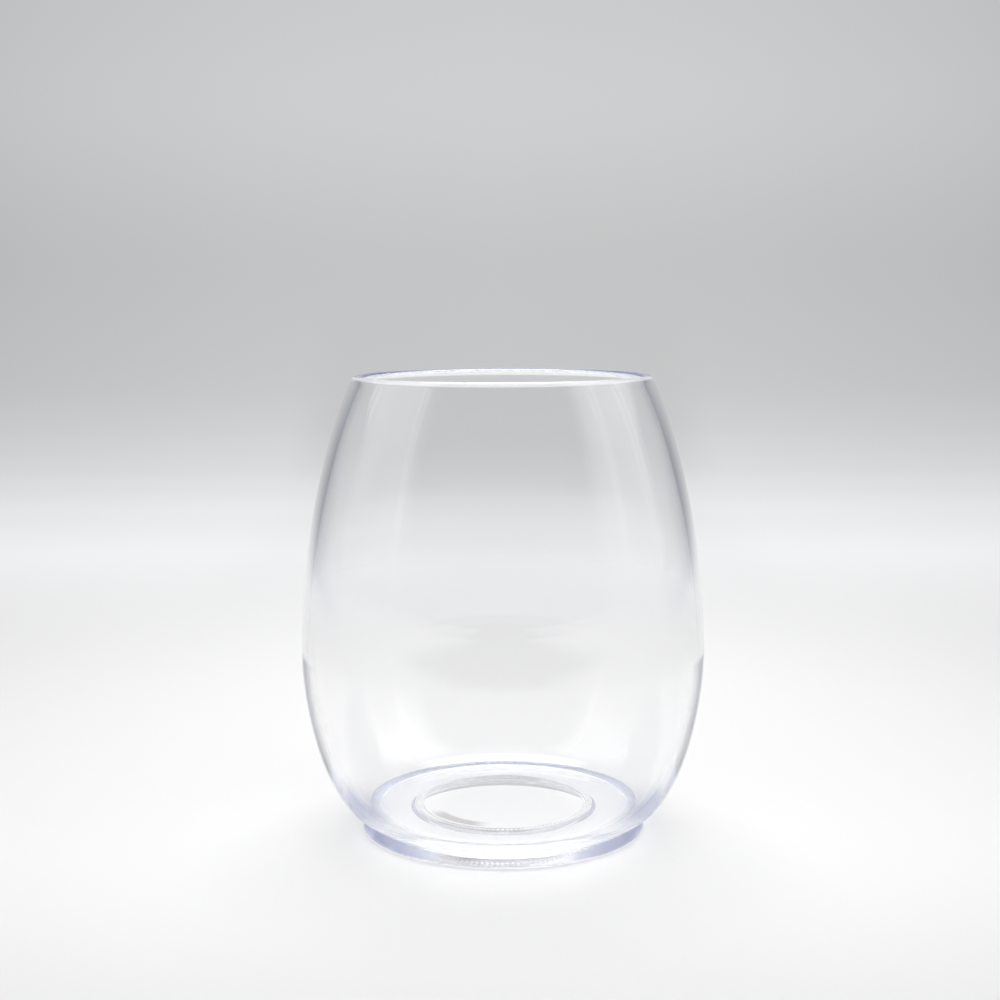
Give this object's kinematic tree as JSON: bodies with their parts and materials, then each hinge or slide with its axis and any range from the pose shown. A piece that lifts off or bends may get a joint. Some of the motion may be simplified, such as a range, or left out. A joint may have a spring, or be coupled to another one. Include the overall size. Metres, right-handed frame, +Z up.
{
  "type": "water glass",
  "caption": "Clear plastic stemless water glass: an egg-shaped bowl with a narrowed, rounded rim, welded to a thin, flat foot ring.",
  "frame": {"origin": "middle of the circle that the foot stands on, at table height", "axes": "+Z up along the glass's axis of revolution; X and Y are any two level directions"},
  "size_m": [0.09, 0.09, 0.1018],
  "materials": {
    "clear_plastic": "clear, polished, faintly blue-violet where the light runs along the wall",
    "weld_plastic": "clear, re-solidified, broken into small teeth"
  },
  "bodies": {
    "root": {"bowl": "clear_plastic", "foot": "clear_plastic", "weld_bead": "weld_plastic"}
  },
  "joints": []
}
